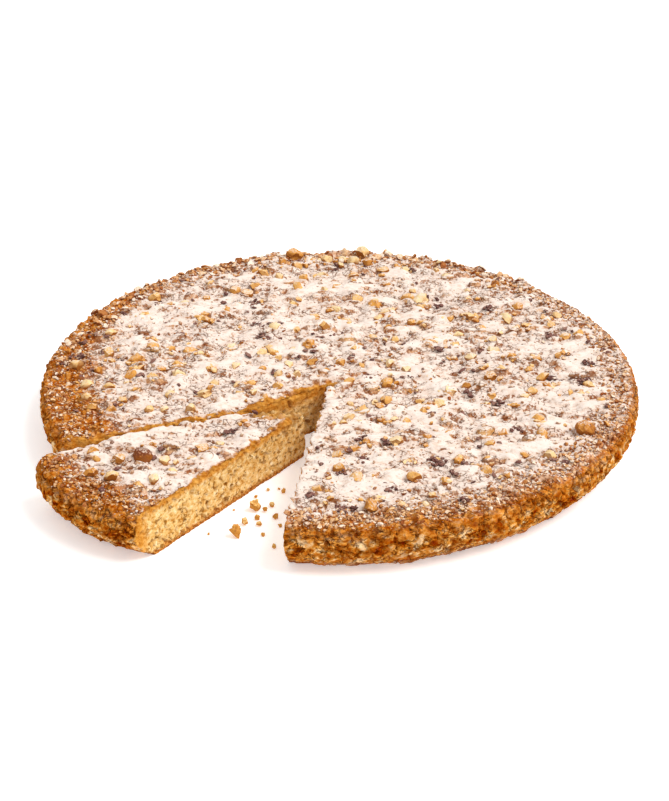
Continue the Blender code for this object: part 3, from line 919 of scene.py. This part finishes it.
# Dark nut skin and cocoa brown bits, dulled by the sugar over them.
dark_bit = make_lump_material(
    "dark_nut_skin",
    ((0.0, "#58322a"), (0.5, "#7a4c42"), (1.0, "#9a7060")),
    patch="#c4a08c", under="#4c2a24", grain_size=0.8, dust=-0.1,
)
# Grains of the browned crust and of nut flour at the rim.
granule = make_lump_material(
    "crust_granule",
    ((0.0, "#9c4e18"), (0.3, "#cc8a48"), (0.6, "#ecc090"), (1.0, "#fdeeda")),
    patch="#c58a5a", under="#8a4410", grain_size=1.0, dust=-0.15,
)
# Grains of the nut crust that carry the sugar: white with sugar above, tan crust elsewhere,
# with painted shade on their lower sides.
sugared_grain = make_lump_material(
    "sugared_nut_grain",
    ((0.0, "#b07a54"), (0.3, "#d2a680"), (0.6, "#e8ccb0"), (1.0, "#f6e6d8")),
    patch="#c29874", under="#9c6844", grain_size=1.0, dust=0.3,
)
# Crumbs of the pale crumb and of its browned crust.
fallen_crumb = make_lump_material(
    "cake_crumb",
    ((0.0, "#8a5226"), (0.2, "#d2923e"), (0.6, "#f2bd68"), (1.0, "#fadc9c")),
    patch="#d0923e", under="#c4842e", grain_size=1.2, dust=-0.4,
)

# The pieces. The smaller ones repeat a few lumps of each kind.
KINDS = 24
shape_chance = random.Random(41)
chopped = [lump(shape_chance, 2, 0.4, 3) for _ in range(KINDS)]
ragged = [lump(shape_chance, 2, 0.5, 1) for _ in range(KINDS)]
grains = [lump(shape_chance, 1, 0.4, 0) for _ in range(KINDS)]

nuts, dark, nuts_in, dark_in = [], [], [], []
frame_nuts(nuts, nuts_in)
bedded_bits(
    nuts, nuts_in, seed=23, count=150, sizes=(0.9, 2.0), stretch=(1, 0.8, 0.6), sunk=0.25,
    shapes=chopped, rise=0.45, beside=nuts_in[:],
)
nut_clusters(nuts, nuts_in, seed=61)
bedded_bits(
    dark, dark_in, seed=29, count=120, sizes=(0.7, 1.6), stretch=(1.2, 0.9, 0.5), sunk=0.2,
    shapes=ragged, rise=0.25,
)
dark_clusters(dark, dark_in, seed=67)
bedded = (nuts_in, dark_in)

notch_edges, slice_edges, broken_point = cut_corners()
nowhere = (Vector((999, 999)), Vector((999, 998)))  # the round cake has no broken point
cake_body, cake_skin = food_body(
    "cake_body", "cake", CAKE_VOXEL, Vector((0, 0)), ROUND_RADIUS, CAKE_SUGAR_EDGE,
    CAKE_RICHNESS, CAKE_TOAST, CAKE_FRAY, edges=notch_edges, broken=nowhere, bedded=bedded,
)
slice_body, slice_skin = food_body(
    "slice_body", "slice", SLICE_VOXEL, SLICE_RIM_CENTRE, SLICE_RIM_RADIUS, SLICE_SUGAR_EDGE,
    SLICE_RICHNESS, SLICE_TOAST, SLICE_FRAY, edges=slice_edges, broken=broken_point,
    bedded=bedded,
)
skins = (cake_skin, slice_skin)
strewn("hazelnut_pieces", nuts, hazelnut, ("cake", "slice"))
strewn("dark_bits", dark, dark_bit, ())


def all_over(place):
    """How dense the sugared grains lie: in drifts, up to the cut edges."""
    if not (on_cake(place, 4, 1) or on_slice(place, 4, 1)):
        return 0.0
    return 0.3 + 1.2 * noise.noise(Vector((place.x, place.y, 7)) / 8)


def near_rim(place):
    """How dense the grains lie: thickest on the front of the rim, and thin behind."""
    if on_slice(place, 2, 1.5):
        inset = SLICE_RIM_RADIUS - (place - SLICE_RIM_CENTRE).length
        return 0.5 * math.exp(-((inset - 11) / 9) ** 2)
    if not on_cake(place, 3, 1.5):
        return 0.0
    inset = ROUND_RADIUS - place.length
    front = 0.3 + 0.7 * max(0.0, -place.y / ROUND_RADIUS, 0.2 * place.x / ROUND_RADIUS)
    return front * math.exp(-((inset - 9) / 6.5) ** 2) + 0.006


def back_rim(place):
    """How dense the coarse lumps lie on the back and left of the rim."""
    if not on_cake(place, 3, 3):
        return 0.0
    inset = ROUND_RADIUS - place.length
    behind = min(1.0, max(0.0, (place.y - 0.3 * place.x - 40) / 60))
    return behind * math.exp(-((inset - 8) / 6) ** 2)


fine_at_rim = bits(
    31, 5200, skins, sizes=(0.4, 1.35), stretch=(1, 0.8, 0.6), sunk=0.35, allowed=near_rim,
    shapes=grains,
)
coarse_at_back = bits(
    43, 520, skins, sizes=(1.0, 2.6), stretch=(1, 0.85, 0.5), sunk=0.4, allowed=back_rim,
    shapes=chopped,
)
strewn("rim_granules", fine_at_rim + coarse_at_back, granule, ())
top_grains = bits(
    37, 1500, skins, sizes=(0.45, 1.35), stretch=(1, 0.85, 0.65), sunk=0.35, allowed=all_over,
    shapes=grains,
)
strewn("sugared_grains", top_grains, sugared_grain, ())

# Crumbs that fell where the slice was drawn out: (x, y, half width) in mm.
CRUMBS = (
    (-36.6, -86.5, 2.6), (-43.9, -107.4, 2.8), (-29.3, -83.1, 1.4), (-40.5, -97.9, 1.7),
    (-35.4, -93.8, 1.3), (-34.4, -98.7, 1.3), (-32.4, -106.6, 1.0), (-32.2, -87.3, 1.2),
    (-27.3, -93.0, 1.4), (-24.4, -71.4, 1.3), (-31.5, -69.7, 0.8), (-36.6, -75.6, 0.9),
    (-26.6, -68.8, 0.7), (-25.3, -99.4, 0.9), (-27.4, -115.9, 1.1), (-55.5, -105.9, 0.6),
    (-45.5, -100.3, 0.6), (-45.8, -86.5, 0.6),
)
fallen = random.Random(53)
crumbs = []
for x, y, size in CRUMBS:
    shape, faces = lump(fallen, 3 if size > 2 else 2, 0.6, 2)
    turn = [fallen.uniform(0, A_TURN) for _ in range(3)]
    matrix = placed(x, y, 0, size, (1, 0.9, 0.8), turn)
    lowest = (np.array(matrix)[:3, :3] @ shape.T)[2].min()
    matrix = Matrix.Translation((0, 0, -lowest)) @ matrix
    crumbs.append((shape, faces, matrix, fallen.uniform(0.15, 0.9)))
strewn("fallen_crumbs", crumbs, fallen_crumb, ())

# Floor, light and camera
FLOOR_RADIUS = 6
FLOOR_GLOW = 0.36
SKY_STRENGTH = 0.74
SUN_STRENGTH = 2.0
SUN_SOFTNESS = math.radians(30)
SUN_SIDE = Vector((0.7, -0.2, 1))
CAMERA_LENS = 84.99
CAMERA_SENSOR = 36
CAMERA_PLACE = (0, -0.7872, 0.4363)
CAMERA_TURN = (math.radians(90 - 28.56), 0, math.radians(0.16))

scene = bpy.context.scene
form = bmesh.new()
bmesh.ops.create_circle(form, cap_ends=True, segments=96, radius=FLOOR_RADIUS)
floor_mesh = bpy.data.meshes.new("floor")
form.to_mesh(floor_mesh)
form.free()
floor = bpy.data.objects.new("floor", floor_mesh)
scene.collection.objects.link(floor)
# Matt paper: white and even, without a shine.
paper, _, paper_shader = principled("white_paper")
paper_shader.inputs["Base Color"].default_value = linear("#fbfaf9")
paper_shader.inputs["Roughness"].default_value = 0.9
paper_shader.inputs["Specular IOR Level"].default_value = 0.0
paper_shader.inputs["Emission Color"].default_value = (1, 1, 1, 1)
paper_shader.inputs["Emission Strength"].default_value = FLOOR_GLOW
floor_mesh.materials.append(paper)

world = bpy.data.worlds.new("studio")
scene.world = world
world.use_nodes = True
sky = world.node_tree.nodes["Background"]
sky.inputs["Color"].default_value = (1, 1, 1, 1)
sky.inputs["Strength"].default_value = SKY_STRENGTH

sun = bpy.data.objects.new("key", bpy.data.lights.new("key", "SUN"))
sun.data.energy = SUN_STRENGTH
sun.data.angle = SUN_SOFTNESS
sun.rotation_euler = SUN_SIDE.to_track_quat("Z", "Y").to_euler()
scene.collection.objects.link(sun)

camera = bpy.data.objects.new("camera", bpy.data.cameras.new("camera"))
camera.data.lens = CAMERA_LENS
camera.data.sensor_width = CAMERA_SENSOR
camera.data.clip_end = 5 * FLOOR_RADIUS
camera.location = CAMERA_PLACE
camera.rotation_euler = CAMERA_TURN
scene.collection.objects.link(camera)
scene.camera = camera
scene.view_settings.view_transform = "Standard"
scene.view_settings.look = "None"
